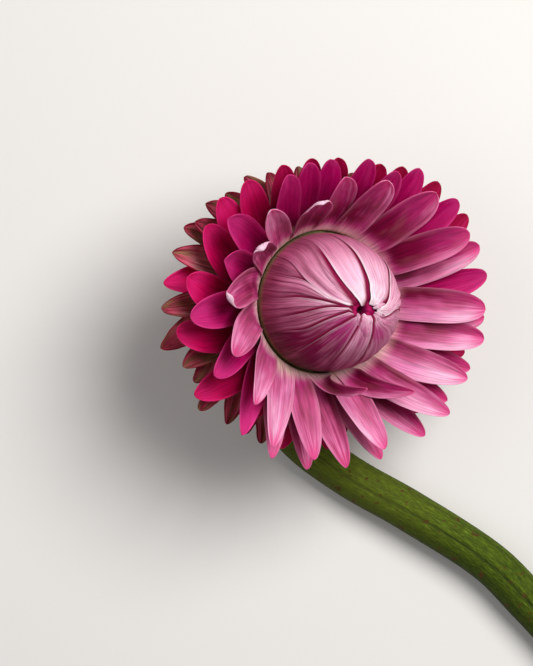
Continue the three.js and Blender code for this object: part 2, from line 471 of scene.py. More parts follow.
def bractMesh(name, row, width, midrib, seed, pointed, **values):
    bm, (rootLayer,), places = newSheet(blade["cells"], ("fromRoot",), blade["endCrowding"])
    for vert, (u, along) in places.items():
        across = 0.0 if along > 0.999 else 2 * u - 1          # the tip closes in one point
        point, side, face = midrib.at(along)
        half = halfWidth(row, width, along, pointed)
        lift = bladeLift(row, seed, across, along, half)
        sway = noiseAt(along * 1.6, seed * 2.3, 4.0) * row["sway"] * mm * smoothStep(0, 1, along)
        place = point + side * (across * half + sway) + face * lift
        vert.co = midrib.folded(place) if midrib.fold else place
        vert[rootLayer] = along * midrib.whole / mm
    bmesh.ops.remove_doubles(bm, verts=bm.verts, dist=mergeDistance)
    return smoothMesh(bm, name, **values)


def newObject(name, data):
    made = bpy.data.objects.new(name, data)
    bpy.context.scene.collection.objects.link(made)
    return made


def addPiece(name, mesh, materials, node=None, thickness=None, levels=1):
    piece = newObject(name, mesh)
    for material in materials:
        mesh.materials.append(material)
    if thickness:
        wall = piece.modifiers.new("wall", "SOLIDIFY")
        wall.thickness = thickness * mm
        wall.offset = 0
        wall.material_offset = 1 if len(materials) > 1 else 0
    if levels:
        smooth = piece.modifiers.new("smooth", "SUBSURF")
        smooth.levels = levels
        smooth.render_levels = levels
    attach(piece, "root")
    if node:
        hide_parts(node)
    return piece


def addRow(row):
    pitch = 360 / len(row["tips"])
    for index, (azimuth, reach, rise, width, depth, roll) in enumerate(row["tips"]):
        evenly = row["firstRoot"] + index * pitch
        toTip = (azimuth - evenly + 180) % 360 - 180
        rootAzimuth = math.radians(evenly + toTip * row["followTip"] + row["rootTurns"].get(index, 0))
        rootRise = row["rootRise"] + (rise - row["usualRise"]) * row["layering"]
        seed = index + row["seed"]
        tip = tipPoint(azimuth, reach, rise)
        midrib = Midrib(row, rootAzimuth, rootRise, tip, roll, row["folds"].get(index))
        name = f"{row['name']}_{index + 1:02d}"
        pieceName = name + "_blade"
        tone = seed * 0.137 % 1.0
        paleFoot = row["paleFeet"].get(index, 0)
        # Right-hand bracts get a painted shadow from the neighbour above on one side, partly deeper colour
        sideDepth = max(0.0, math.cos(math.radians(azimuth)))
        mesh = bractMesh(pieceName, row, width, midrib, seed, pointedAt(row, azimuth),
                         tone=tone, depth=depth, paleFoot=paleFoot, sideDepth=sideDepth)
        node = name if row["hasNodes"] else None
        look = row["otherLooks"].get(index, row["look"])
        addPiece(pieceName, mesh, bractFaces[look], node, blade["thickness"])
    print(row["name"], len(row["tips"]), "bracts")


# Every row starts from these values, in mm and degrees. rootTurns, paleFeet, otherLooks and folds name single
# bracts by their index, and a fold gives its distance from the tip, turn, slant and radius
plainRow = {
    "hasNodes": False, "upright": 0, "usualRise": 0, "layering": 0, "shoulder": 0.55, "pointed": 0,
    "tipCup": 1.3, "wave": 0.15, "edgeWave": 0.15, "edgeTurns": 5.5, "pleat": 0.07, "crinkle": 0.02,
    "vein": 0.06, "sway": 0.2, "rootTurns": {}, "paleFeet": {}, "otherLooks": {}, "folds": {},
}
# Each tip: azimuth and reach seen from above, rise, width, depth of colour (partly painted shade) and roll
innerRow = {
    **plainRow, "name": "inner_bract", "slot": "inner_bract", "look": "inner", "hasNodes": True, "seed": 1,
    "followTip": 0.2, "rootRadius": 9.65, "rootRise": -0.8, "rootSlope": 52, "upright": 1.2, "firstRoot": 8,
    "usualRise": 9.5, "layering": 0.1, "clawWidth": 4.3, "shoulder": 0.6, "tipPower": 2.6,
    "channel": 0.3, "pleat": 0.1, "vein": 0.08,
    "rootTurns": {1: 11, 2: 11, 3: 13, 4: 10, 5: 12, 6: 12, 7: 9, 8: 1, 9: 2, 10: 8, 11: 5},
    "paleFeet": {0: 0.9, 1: 0, 2: -0.4, 3: -0.5, 4: -0.5, 10: 0.5, 11: 2.2, 12: 0.5, 14: 0.6, 15: 0.9,
                 16: 1.6, 17: 1.3},
    "folds": {5: (0.9, 165, -28, 0.3), 7: (1.2, 155, 0, 0.4), 8: (1.2, 150, -20, 0.45)},
    "tips": [
        (357.5, 22.3, 9.2, 4.8, 0.5, -5), (25, 22, 10, 4.7, 1.2, 0), (44, 21.1, 10, 5, 1.2, 0),
        (62, 18.2, 10, 4.8, 1, 0), (80, 16.6, 10, 4.4, 0.95, 0), (91, 13.3, 10.5, 4.6, 0.9, -15),
        (120, 13.7, 10, 3.6, 0.55, -30), (138.5, 11.3, 9.8, 3.8, 0.8, -32), (181, 13.2, 8.6, 4.4, 0.75, 0),
        (211, 13.8, 9, 4.1, 0.6, 20), (236, 16.3, 9, 3.9, 0.5, 0), (251, 20.4, 8.5, 4.4, 0.35, 0),
        (267, 21.1, 8.5, 4.6, 0.62, 0), (297, 12.9, 10.6, 2, 1, 55), (293, 21.5, 8.5, 4.4, 0.4, 0),
        (319, 23, 9, 4.3, 0.4, 0), (332, 22.4, 9, 4.7, 0.2, 0), (347, 22.8, 7.9, 4.4, 0.6, -6)
    ],
}
foldedRow = {
    **plainRow, "name": "folded_bract", "slot": "inner_bract", "look": "inner", "seed": 20, "followTip": 0,
    "rootRadius": 9.6, "rootRise": -0.7, "rootSlope": 52, "upright": 1.2, "firstRoot": 296, "usualRise": 10,
    "clawWidth": 2.6, "shoulder": 0.4, "tipPower": 2.0, "pointed": 0.5, "channel": 0.3, "wave": 0.05,
    "edgeWave": 0.1, "pleat": 0.08, "sway": 0,
    "tips": [(316, 17.3, 10.4, 3.2, 1, 20)],
}
middleRow = {
    **plainRow, "name": "middle_bract", "slot": "middle_bract", "look": "middle", "hasNodes": True,
    "seed": 31, "followTip": 0.4, "rootRadius": 9.65, "rootRise": -2.9, "rootSlope": 42, "upright": 0.8,
    "firstRoot": -7, "usualRise": 6.2, "layering": 0.35, "clawWidth": 4.3, "tipPower": 2.7, "channel": 0.28,
    "otherLooks": dict.fromkeys((0, 2, 15, 16, 17, 18, 19, 20, 21), "inner"),
    "tips": [
        (355, 22.4, 6.5, 4.3, 0.85, 0), (10, 23.1, 5.5, 4.3, 0.6, 0), (20, 22.9, 7, 4.5, 0.85, 0),
        (37, 23.2, 6.2, 4.3, 0.9, 0), (54, 22.3, 6.8, 4.3, 0.95, 0), (61, 20, 8.3, 4.2, 0.8, 0),
        (72, 20, 7.2, 4.2, 0.95, 0), (87, 19, 5, 4.3, 1.0, 0), (96, 18.4, 6.8, 4.3, 0.95, 0),
        (106, 17.2, 8, 4.4, 0.7, 0), (139.5, 16.5, 6, 4.7, 0.55, 0), (158, 14, 6.8, 4.8, 0.6, 0),
        (187, 17.6, 5.8, 4.9, 0.4, 0), (214, 17.4, 6.4, 4.6, 0.4, 0), (239, 20.7, 5.6, 4.3, 0.25, 0),
        (252, 22, 5.2, 4.1, 0.55, 0), (265, 22.6, 4.2, 4, 0.75, 0), (278, 22.6, 5.6, 4.3, 0.65, 0),
        (291, 22.8, 4.4, 4, 0.65, 0), (308, 23, 5.4, 4.3, 0.9, 0), (322, 21.8, 6.4, 4.2, 0.95, 0),
        (336, 22.4, 5.5, 4.2, 0.9, 0)
    ],
}
crimsonRow = {
    **plainRow, "name": "crimson_bract", "slot": "middle_bract", "look": "crimson", "seed": 61,
    "followTip": 0.35, "rootRadius": 9.2, "rootRise": -4.4, "rootSlope": 26, "upright": 0.4, "firstRoot": 2,
    "usualRise": 2.5, "layering": 0.25, "clawWidth": 3.8, "tipPower": 2.8, "channel": 0.25, "tipCup": 1.2,
    "tips": [
        (5, 20.5, 2, 4.3, 0.6, 0), (31, 23.5, 3, 4.3, 0.9, 0), (46, 23, 3, 4.3, 1, 0),
        (59, 21.5, 3, 4.3, 1, 0), (67, 20.3, 3.5, 4.3, 1, 0), (84, 19.5, 2.5, 4.3, 1, 0),
        (95, 19.2, 3, 4.3, 0.9, 0), (107, 18.9, 3, 4.3, 0.7, 0), (123, 18.9, 3, 4.8, 0.4, 0),
        (135, 19.3, 2, 4.7, 0.2, 0), (147, 18.4, 2, 5, 0.1, 0), (170, 18.2, 2.4, 5.2, 0.1, 0),
        (191, 19.7, 1.8, 4.9, 0.15, 0), (216, 21.1, 2, 4.8, 0.25, 0), (236, 19.5, 1, 4.2, 0.5, 0),
        (254, 20.5, 1.6, 4.2, 0.5, 0), (272, 20, 1, 4.2, 0.6, 0), (292, 20.3, 1.6, 4.2, 0.6, 0),
        (312, 20.3, 1.2, 4.2, 0.5, 0), (341, 21.1, 2, 4.3, 0.5, 0)
    ],
}
# The two brownish rows behind are rougher
roughRow = {
    **plainRow, "slot": "outer_bract", "look": "outer", "clawWidth": 2.6, "shoulder": 0.5, "tipPower": 2.2,
    "pointed": 0.35, "tipCup": 1.6, "wave": 0.3, "edgeWave": 0.4, "edgeTurns": 8, "pleat": 0.16,
    "crinkle": 0.12, "vein": 0.08,
}
rustRow = {
    **roughRow, "name": "rust_bract", "seed": 91, "followTip": 0.6, "rootRadius": 7.95, "rootRise": -5.4,
    "rootSlope": 12, "firstRoot": 10, "channel": 0.22, "sway": 0.4,
    "tips": [
        (8, 15.5, -7.2, 4.2, 0.5, 0), (32, 16.5, -6.6, 4.2, 0.5, 0), (55, 18, -5.5, 4.2, 0.5, 0),
        (76, 18.4, -4.6, 4.2, 0.5, 0), (94, 18.8, -4, 4.2, 0.5, 0), (113, 19, -3, 4.2, 0.4, 0),
        (132, 19.5, -2, 4.3, 0.4, 0), (148, 20, -1.4, 4.3, 0.3, 0), (162, 21, -1.2, 4.4, 0.1, 0),
        (183, 21.4, -1, 4.4, 0.4, 0), (205, 20.6, -1.5, 4.4, 0.5, 0), (221, 22, -1.3, 4.4, 0.4, 0),
        (240, 20.6, -1.6, 4.2, 0.6, 0), (260, 19.6, -3.4, 4.2, 0.5, 0), (280, 18.6, -4.6, 4.2, 0.5, 0),
        (300, 17.4, -5.6, 4.2, 0.5, 0), (322, 16.2, -6.6, 4.2, 0.5, 0), (345, 15.4, -7.2, 4.2, 0.5, 0)
    ],
}
outerRow = {
    **roughRow, "name": "outer_bract", "hasNodes": True, "seed": 121, "followTip": 0.4, "rootRadius": 7.45,
    "rootRise": -6.2, "rootSlope": 4, "firstRoot": 0, "channel": 0.18, "sway": 0.3,
    "otherLooks": {8: "crimson"},
    "tips": [
        (353, 12.8, -12.4, 4, 0.6, 0), (30, 14.5, -12.9, 4, 0.6, 0), (58, 16.5, -9.5, 4.2, 0.6, 0),
        (80, 18, -8.5, 4.2, 0.6, 0), (100, 19, -7.5, 4.2, 0.6, 0), (122, 20, -6, 4.3, 0.5, 0),
        (140, 20.5, -4.5, 4.4, 0.4, 0), (152, 21, -3.5, 4.4, 0.15, 0), (174, 21.3, -3.2, 4.8, 0.0, 0),
        (196, 22.5, -3, 4.8, 0.1, 0), (212, 20.4, -4, 4.3, 0.4, 0), (232, 21, -3.5, 4.4, 0.4, 0),
        (247, 21, -5, 4.2, 0.8, 0), (268, 19.5, -7, 4.2, 0.7, 0), (288, 18, -8.5, 4, 0.7, 0),
        (306, 16, -9.5, 4, 0.7, 0), (328, 14, -12.5, 4, 0.7, 0)
    ],
}

bractFaces = {
    "inner": (bractMaterial("innerBractFace", innerLook), bractMaterial("innerBractBack", innerBackLook)),
    "middle": (bractMaterial("middleBractFace", middleLook),),
    "crimson": (bractMaterial("crimsonBractFace", crimsonLook),),
    "outer": (bractMaterial("outerBractFace", outerLook),),
}
for row in (innerRow, foldedRow, middleRow, crimsonRow, rustRow, outerRow):
    addRow(row)


# Bud: closed bracts lie over each other in folds that run together at a small opening on top
bud = {
    "radius": 9.3, "height": 13.4, "fullness": 0.92, "underlap": 0.5, "cells": (28, 48), "thickness": 0.12,
    "knotAngles": (-4, 20, 40, 60, 75), "straightTo": 0.82, "arcLength": 17.5, "foldHeight": 0.24,
    "narrowHeight": 0.2, "edgeLift": 0.06, "bulge": 0.08, "tipDip": 0.45,
}
# Each crease: its azimuth at the knot angles above the ring, and where it ends near the opening (right, up)
creases = {
    "a": ((121, 121, 128, 139, 148), (-0.85, -0.1)),
    "b": ((99, 98, 96, 94, 88), (0.3, 0.3)),
    "c": ((58, 54, 49, 40, 10), (1.6, 0.0)),
    "d": ((5, 5, 3, 0, -22), (1.7, -0.6)),
    "e": ((-72, -72, -72, -70, -64), (0.9, -1.2)),
    "f": ((-94, -96, -101, -106, -112), (-1.0, -1.25)),
    "g": ((238, 233, 228, 223, 223), (-1.35, -1.5)),
    "h": ((216, 211, 212, 206, 202), (-1.75, -1.25)),
    "i": ((202, 199, 195, 189, 190), (-1.95, -0.95)),
    "j": ((182, 182, 179, 181, 189), (-2.0, -0.6)),
    "k": ((161, 162, 162, 174, 185), (-1.95, -0.3)),
    "l": ((145, 149, 161, 174, 184), (-1.85, -0.05)),
}
# Each closed bract: its two creases, how deep each side dips under its neighbour at the foot and at the tip
# and how wide that dip is there, then wrinkling, depth of colour (partly painted shade) and number of folds
closedBracts = [
    ("a", "l", (0.04, 0.42), (0.35, 1.7), (0, 0), (0, 0), 0.7, 0.2, 3),
    ("b", "a", (0.03, 0.36), (0.2, 1.25), (0, 0), (0, 0), 0.2, 0.0, 2),
    ("c", "b", (0.04, 0.22), (0.5, 0.9), (0, 0), (0, 0), 0.5, 0.0, 5),
    ("d", "c", (0, 0), (0, 0), (0, 0), (0, 0), 1.0, 0.15, 6),
    ("e", "d", (0.04, 0.2), (0.3, 0.5), (0.04, 0.2), (0.3, 0.5), 1.1, 0.6, 7),
    ("f", "e", (0.04, 0.2), (0.3, 0.5), (0, 0), (0, 0), 0.6, 0.75, 3),
    ("g", "f", (0, 0), (0, 0), (0, 0), (0, 0), 0.4, 0.95, 3),
    ("h", "g", (0, 0), (0, 0), (0.05, 0.25), (0.4, 0.6), 1.0, 0.85, 4),
    ("i", "h", (0, 0), (0, 0), (0.05, 0.2), (0.4, 0.5), 1.0, 0.6, 3),
    ("j", "i", (0, 0), (0, 0), (0.05, 0.2), (0.4, 0.5), 1.1, 0.45, 3),
    ("k", "j", (0, 0), (0, 0), (0.05, 0.2), (0.4, 0.5), 1.1, 0.35, 4),
    ("l", "k", (0.06, 0.2), (0.3, 0.4), (0.05, 0.2), (0.3, 0.4), 0.9, 0.35, 2),
]
budLook = {
    **plainLook, "streaks": 15.0, "wander": 0.2, "mottle": 1.4, "patches": 1.4, "marginFrom": 0.44,
    "marginShare": 0.15, "margin": "f3cfe0", "contrast": 0.3, "bump": 0.8, "gloss": 0.4, "shine": 0.18,
    "sheen": 0.02, "paintedEdgeHighlight": "fbe6ee", "creaseShadeAndTint": "7c0038",
    "cream": "948058", "creamFade": (0.6, 1.5), "ragged": 0.7, "olive": "2a2a10", "ringShadeFade": (0.4, 0.7),
    "pale": [(0.0, "c06084"), (0.12, "bc5682"), (0.3, "d880a4"), (0.65, "f4b4ce"), (1.0, "f8dce6")],
    "deep": [(0.0, "540026"), (0.12, "580028"), (0.4, "74003c"), (0.75, "a2306e"), (1.0, "d48cae")],
}
# Deep magenta, darker at the lump's sides and near black in the middle of the well: painted shade
throatColourAndWellShade = [(0.0, "40001c"), (0.35, "8c0846"), (0.6, "a01452"), (0.8, "58042c"), (0.92, "1c0208")]
throatLook = {
    **budLook, "marginShare": 0.0, "mottle": 0.0, "shine": 0.05, "sheen": 0.0,
    "pale": throatColourAndWellShade, "deep": throatColourAndWellShade,
}


def knotValue(values, place):
    last = len(values) - 1
    i = min(last - 1, int(place * last))
    u = place * last - i
    p1, p2 = values[i], values[i + 1]
    p0 = values[i - 1] if i else 2 * p1 - p2
    p3 = values[i + 2] if i + 2 <= last else 2 * p2 - p1
    square = 2 * p0 - 5 * p1 + 4 * p2 - p3
    cube = 3 * p1 - 3 * p2 + p3 - p0
    return 0.5 * (2 * p1 + (p2 - p0) * u + square * u * u + cube * u ** 3)


def domeRadius(angle):
    return bud["radius"] * max(0.0, math.cos(angle)) ** bud["fullness"]


# A crease's place in the head's own plane at a share of its length, and its angle above the ring
def creasePlace(name, along):
    azimuths, end = creases[name]
    toKnots = min(1.0, along / bud["straightTo"])
    angle = math.radians(knotValue(bud["knotAngles"], toKnots))
    azimuth = math.radians(knotValue(azimuths, toKnots))
    place = Vector((math.cos(azimuth), math.sin(azimuth))) * domeRadius(angle)
    if along > bud["straightTo"]:
        place = place.lerp(Vector(end), (along - bud["straightTo"]) / (1 - bud["straightTo"]))
    return place, angle


def domeNormal(place, rise):
    sides = bud["radius"] ** 2
    return Vector((place.x / sides, place.y / sides, rise / bud["height"] ** 2)).normalized()


def riseAt(place):
    share = min(1.0, (place.length / bud["radius"]) ** (1 / bud["fullness"]))
    return bud["height"] * math.sqrt(max(0.0, 1 - share * share))


# Folds climb slowly and drop sharply, and fade in and out along the bract. Gives a point's height on its fold
# and its closeness to the drop
def foldAt(share, along, index, count):
    place = share * count + 0.7 * noiseAt(along * 1.8, index * 2.9, share * 0.7)
    whole = math.floor(place)
    part = place - whole
    strength = 0.55 + 1.1 * noiseAt(whole * 1.7 + 0.3, along * 2.4, index * 1.3)
    strength = min(1.0, max(0.0, strength))
    drop = smoothStep(0.8, 1.0, part)
    height = strength * smoothStep(0.0, 0.8, part) * (1 - drop)
    return height, strength * max(drop, 1 - smoothStep(0.0, 0.22, part))


def betweenCreases(a, b, share, along):
    if along >= bud["straightTo"]:
        return a.lerp(b, share)
    turnA, turnB = math.atan2(a.y, a.x), math.atan2(b.y, b.x)
    turnB = turnA + (turnB - turnA + math.pi) % (2 * math.pi) - math.pi
    turn = mix(turnA, turnB, share)
    return Vector((math.cos(turn), math.sin(turn))) * mix(a.length, b.length, share)


def closedBract(index, bract):
    first, second, firstDip, firstWide, secondDip, secondWide, wrinkle, depth, folds = bract
    bm, layers, places = newSheet(bud["cells"], ("creaseShadeAndTint", "paintedEdgeHighlight", "fromRoot"))
    creaseShadeAndTintLayer, paintedEdgeHighlightLayer, rootLayer = layers
    for vert, (u, along) in places.items():
        a, angle = creasePlace(first, along)
        b, _ = creasePlace(second, along)
        width = max(0.02, (b - a).length)
        under = bud["underlap"] / width
        share = mix(-under if firstDip[1] else 0.0, 1 + under if secondDip[1] else 1.0, u)
        place = betweenCreases(a, b, share, along)
        onArc = bud["height"] * math.sin(angle)
        rise = mix(onArc, riseAt(place), smoothStep(bud["straightTo"], bud["straightTo"] + 0.08, along))
        normal = domeNormal(place, max(rise, 0.0))
        free = smoothStep(0.05, 0.2, along)
        dip, creaseShadeAndTint, paintedEdgeHighlight = 0.0, 0.0, 0.0
        sides = ((share * width, firstDip, firstWide), ((1 - share) * width, secondDip, secondWide))
        for away, deep, wide in sides:
            if deep[1]:
                reach = mix(wide[0], wide[1], along ** 1.6)
                dip += mix(deep[0], deep[1], along ** 1.6) * (1 - smoothStep(-0.1, reach, away))
                # The strip dipping under a neighbour gets painted shade, partly the deeper colour of a
                # covered bract
                nearCrease = 1 - smoothStep(0.5 * reach, 1.15 * reach, away)
                creaseShadeAndTint = max(creaseShadeAndTint, nearCrease * smoothStep(0.1, 0.4, along))
            else:
                dip -= bud["edgeLift"] * free * (1 - smoothStep(0.0, 0.4, away))
                # An edge lying over its neighbour gets a painted highlight
                nearEdge = (1 - smoothStep(0.1, 0.45, away)) * smoothStep(0.2, 0.7, along)
                paintedEdgeHighlight = max(paintedEdgeHighlight, nearEdge * (0.75 - 0.6 * depth))
        gather = smoothStep(0.05, 0.5, along) + 0.6 * smoothStep(0.75, 1.0, along)
        fold, line = foldAt(share, along, index, folds)
        narrow = abs(noiseAt(share * 9.0, along * 1.6, index * 1.7))
        narrowness = min(1.0, width / 1.2)
        wrinkles = fold * bud["foldHeight"] + narrow * bud["narrowHeight"]
        lift = wrinkles * wrinkle * mix(0.5, 1.0, gather) * narrowness
        # Fold drops and narrow wrinkles get painted shade lines
        inNarrow = (1 - smoothStep(0.0, 0.08, narrow)) * 0.4 * wrinkle
        creaseShadeAndTint = max(creaseShadeAndTint, line * 0.6 * min(1.0, wrinkle), inNarrow)
        lift += bud["bulge"] * (1 - (2 * min(1, max(0, share)) - 1) ** 2)
        tipDip = smoothStep(0.93, 1.0, along) * bud["tipDip"]
        point = Vector((place.x, place.y, rise)) + normal * (lift * free - dip - tipDip)
        vert.co = ringPoint(*point)
        vert[creaseShadeAndTintLayer] = min(1.0, creaseShadeAndTint)
        vert[paintedEdgeHighlightLayer] = paintedEdgeHighlight * (1 - creaseShadeAndTint)
        vert[rootLayer] = along * bud["arcLength"]
    return smoothMesh(bm, f"closed_bract_{index + 1:02d}", tone=index * 0.173 % 1.0, depth=depth)


# Small tips folded over the opening's edge: foot and tip (right, up), width, bend, height, depth of colour
# (partly painted shade)
lobes = [
    ((1.6, -4.8), (-0.4, -1.0), 1.6, 0.35, 0.2, 0.7),
    ((-0.7, -2.8), (-1.2, -1.1), 0.7, 0.1, 0.16, 0.75),
    ((2.3, 1.3), (0.8, 0.25), 0.6, 0.15, 0.18, 0.2),
    ((2.9, 0.5), (1.0, -0.2), 0.6, -0.2, 0.22, 0.35),
    ((3.9, 0.5), (2.2, -0.3), 0.6, 0.2, 0.18, 0.3),
    ((3.3, -0.8), (1.4, -0.7), 0.6, 0.15, 0.18, 0.6),
]
lobeCells = (10, 18)


def lobeMesh(index, lobe):
    foot, tip, width, bend, high, depth = lobe
    foot, tip = Vector(foot), Vector(tip)
    aside = (tip - foot).orthogonal().normalized()
    uvLeft = index * 0.07
    bm, _, places = newSheet(lobeCells, uvAcross=(uvLeft, uvLeft + 0.4), uvAlong=(0.45, 1.0))
    for vert, (u, along) in places.items():
        across = 0.0 if min(along, 1 - along) < 0.001 else 2 * u - 1      # both ends close in one point
        half = 0.5 * width * (1 - abs(2 * along ** 0.8 - 1) ** 2.4) ** 0.6
        middle = foot.lerp(tip, along) + aside * bend * math.sin(math.pi * along)
        place = middle + aside * across * half
        ripple = noiseAt(across * 2.4, along * 3.5, index * 3.1) * 0.25
        lift = high * smoothStep(0.0, 0.5, along) - 0.18 * across * across + ripple
        lift -= 0.5 * smoothStep(0.8, 1.0, along)
        rise = riseAt(place)
        point = Vector((place.x, place.y, rise)) + domeNormal(place, rise) * lift
        vert.co = ringPoint(*point)
    bmesh.ops.remove_doubles(bm, verts=bm.verts, dist=mergeDistance)
    return smoothMesh(bm, f"folded_tip_{index + 1:02d}", tone=0.61 + index * 0.11, depth=depth,
                      fromRoot=bud["arcLength"])


# The wrinkled dark lump seen through the opening, its colour going near black in the middle of the well:
# painted shade
throat = {"middle": (-0.5, -0.6, 11.7), "size": (2.6, 2.3, 1.2), "pleat": 1.1, "well": 1.2, "wellEdge": 0.4}


def throatMesh():
    middle, size = throat["middle"], throat["size"]
    bm = bmesh.new()
    uvLayer = bm.loops.layers.uv.new("bractMap")
    bmesh.ops.create_uvsphere(bm, u_segments=48, v_segments=20, radius=1.0)
    for face in bm.faces:
        for loop in face.loops:
            x, y, _ = loop.vert.co
            loop[uvLayer].uv = (math.atan2(y, x) / (2 * math.pi) + 0.5, 1 - math.hypot(x, y))
    for vert in bm.verts:
        x, y, z = vert.co
        turn = math.atan2(y, x)
        distance = math.hypot(x, y)
        fold = abs(noiseAt(math.cos(turn) * 4, math.sin(turn) * 4, distance))
        lift = fold * throat["pleat"] * distance
        if z > 0:
            lift -= throat["well"] * (1 - smoothStep(0.0, throat["wellEdge"], distance))
        vert.co = ringPoint(middle[0] + x * size[0], middle[1] + y * size[1], middle[2] + z * size[2] + lift)
    return smoothMesh(bm, "throat", tone=0.4, depth=1.0, fromRoot=bud["arcLength"])


budFace = bractMaterial("closedBractFace", budLook)
throatFace = bractMaterial("throatFace", throatLook)
for index, bract in enumerate(closedBracts):
    addPiece(f"closed_bract_{index + 1:02d}", closedBract(index, bract), (budFace, budFace), "bud",
             bud["thickness"])
for index, lobe in enumerate(lobes):
    addPiece(f"folded_tip_{index + 1:02d}", lobeMesh(index, lobe), (budFace,), None, bud["thickness"])
addPiece("throat", throatMesh(), (throatFace,), None, None, 0)
print("bud", len(closedBracts), "closed bracts")


# Stem
stem = {
    "diameter": 6.0, "neckLead": 1.2, "receptacleDepth": 9.2, "seatGap": 0.3, "sides": 72, "steps": 150,
    "samples": 600, "grooveDepth": 0.14, "ringAboveTable": 20.5, "bends": (0, 22, 45, 68, 90),
    "lies": [(-7, -14), (-2.6, -19.4), (4.3, -24.5), (12.7, -29.3), (24, -36.6), (29.7, -42.3), (38, -51),
             (50, -60), (65, -67)],
}
# Grooves between the ribs: angle round the stem, width and strength
stemGrooves = [(0.02, 0.07, 1.0), (0.75, 0.1, 0.3), (1.3, 0.12, 0.4), (2.0, 0.11, 0.4), (2.7, 0.12, 0.6),
               (3.4, 0.11, 0.4), (4.1, 0.12, 0.5), (4.8, 0.11, 0.3), (5.3, 0.1, 0.45), (5.85, 0.08, 0.3)]


def grooveAt(angle, share):
    total = 0.0
    for place, wide, strength in stemGrooves:
        drift = 0.12 * noiseAt(share * 6, place * 3, 0.5)
        away = (angle - place - drift + math.pi) % (2 * math.pi) - math.pi
        total += strength * math.exp(-(away / wide) ** 2)
    return min(1.0, total)


def catmullRom(points, t):
    spans = len(points) - 1
    place = min(spans - 1e-9, t * spans)
    i = int(place)
    u = place - i
    p1, p2 = points[i], points[i + 1]
    p0 = points[i - 1] if i else p1 * 2 - p2
    p3 = points[i + 2] if i + 2 <= spans else p2 * 2 - p1
    knots = [0.0]
    for a, b in ((p0, p1), (p1, p2), (p2, p3)):
        knots.append(knots[-1] + max(1e-6, (b - a).length) ** 0.5)
    k0, k1, k2, k3 = knots
    k = mix(k1, k2, u)
    a1 = p0 * ((k1 - k) / (k1 - k0)) + p1 * ((k - k0) / (k1 - k0))
    a2 = p1 * ((k2 - k) / (k2 - k1)) + p2 * ((k - k1) / (k2 - k1))
    a3 = p2 * ((k3 - k) / (k3 - k2)) + p3 * ((k - k2) / (k3 - k2))
    b1 = a1 * ((k2 - k) / (k2 - k0)) + a2 * ((k - k0) / (k2 - k0))
    b2 = a2 * ((k3 - k) / (k3 - k1)) + a3 * ((k - k1) / (k3 - k1))
    return b1 * ((k2 - k) / (k2 - k1)) + b2 * ((k - k1) / (k2 - k1))


def stemRoute():
    start = headPoint(0, 0, -stem["receptacleDepth"] - stem["seatGap"])
    back = -headAxis
    ahead = Vector((0, -1, 0))
    rest = ringCentre.z - stem["ringAboveTable"] * mm + stem["diameter"] / 2 * mm
    bendStart = start + back * stem["neckLead"] * mm
    bendRadius = (bendStart.z - rest) / math.cos(lean)
    points = [start]
    for bend in stem["bends"]:
        turn = math.radians(bend)
        down = bendStart + back * bendRadius * math.sin(turn)
        points.append(down + ahead * bendRadius * (1 - math.cos(turn)))
    for x, y in stem["lies"]:
        points.append(Vector((ringCentre.x + x * mm, ringCentre.y + y * mm, rest)))
    fine = [catmullRom(points, i / stem["samples"]) for i in range(stem["samples"] + 1)]
    lengths = [0.0]
    for a, b in zip(fine, fine[1:]):
        lengths.append(lengths[-1] + (b - a).length)
    route = []
    j = 0
    for i in range(stem["steps"] + 1):
        target = lengths[-1] * i / stem["steps"]
        while j < stem["samples"] - 1 and lengths[j + 1] < target:
            j += 1
        share = (target - lengths[j]) / (lengths[j + 1] - lengths[j])
        route.append(fine[j].lerp(fine[j + 1], share))
    return route


def stemMesh():
    route = stemRoute()
    bm = bmesh.new()
    bmesh.ops.create_circle(bm, cap_ends=True, segments=stem["sides"], radius=1.0)
    end = bm.faces[:][0]
    rings = [list(end.verts)]
    cap = end
    for _ in route[1:]:
        grown = bmesh.ops.extrude_face_region(bm, geom=[cap])
        faces = [g for g in grown["geom"] if isinstance(g, bmesh.types.BMFace)]
        if cap.is_valid and len(rings) > 1:
            bmesh.ops.delete(bm, geom=[cap], context="FACES_ONLY")
        cap = faces[0]
        rings.append(list(cap.verts))
    side = Vector((0, 0, 1))
    for i in reversed(range(len(route))):           # from the cut end, where the first side is the top
        ring, centre = rings[i], route[i]
        ahead = (route[min(i + 1, len(route) - 1)] - route[max(i - 1, 0)]).normalized()
        side = (side - ahead * side.dot(ahead)).normalized()
        other = ahead.cross(side)
        share = i / (len(route) - 1)
        for k, vert in enumerate(ring):
            angle = 2 * math.pi * k / len(ring)
            bulge = noiseAt(math.cos(angle), math.sin(angle), share * 9) * 0.03
            radius = stem["diameter"] / 2 * mm * (0.985 + 0.03 * share + bulge)
            radius -= stem["grooveDepth"] * mm * grooveAt(angle, share)
            vert.co = centre + (side * math.cos(angle) + other * math.sin(angle)) * radius
    return bm, rings, route


def buildStem(material, cutMaterial):
    bm, rings, route = stemMesh()
    bm.normal_update()
    bmesh.ops.recalc_face_normals(bm, faces=bm.faces)
    bm.verts.index_update()
    around = [0.0] * len(bm.verts)
    along = [0.0] * len(bm.verts)
    for i, ring in enumerate(rings):
        for k, vert in enumerate(ring):
            around[vert.index] = 2 * math.pi * k / len(ring)
            along[vert.index] = i / (len(rings) - 1)
    mesh = smoothMesh(bm, "stem_stalk")
    setAttribute(mesh, "groove", [grooveAt(angle, place) for angle, place in zip(around, along)])
    layer = mesh.attributes.new("stalk", "FLOAT_VECTOR", "POINT")
    for item, angle, place in zip(layer.data, around, along):
        item.vector = (math.cos(angle), math.sin(angle), place)
    for polygon in mesh.polygons:
        if len(polygon.vertices) == stem["sides"]:
            polygon.use_smooth = False
            polygon.material_index = 1
    addPiece("stem_stalk", mesh, (material, cutMaterial), "stem", None, 0)
    print("stem", len(route), "rings")


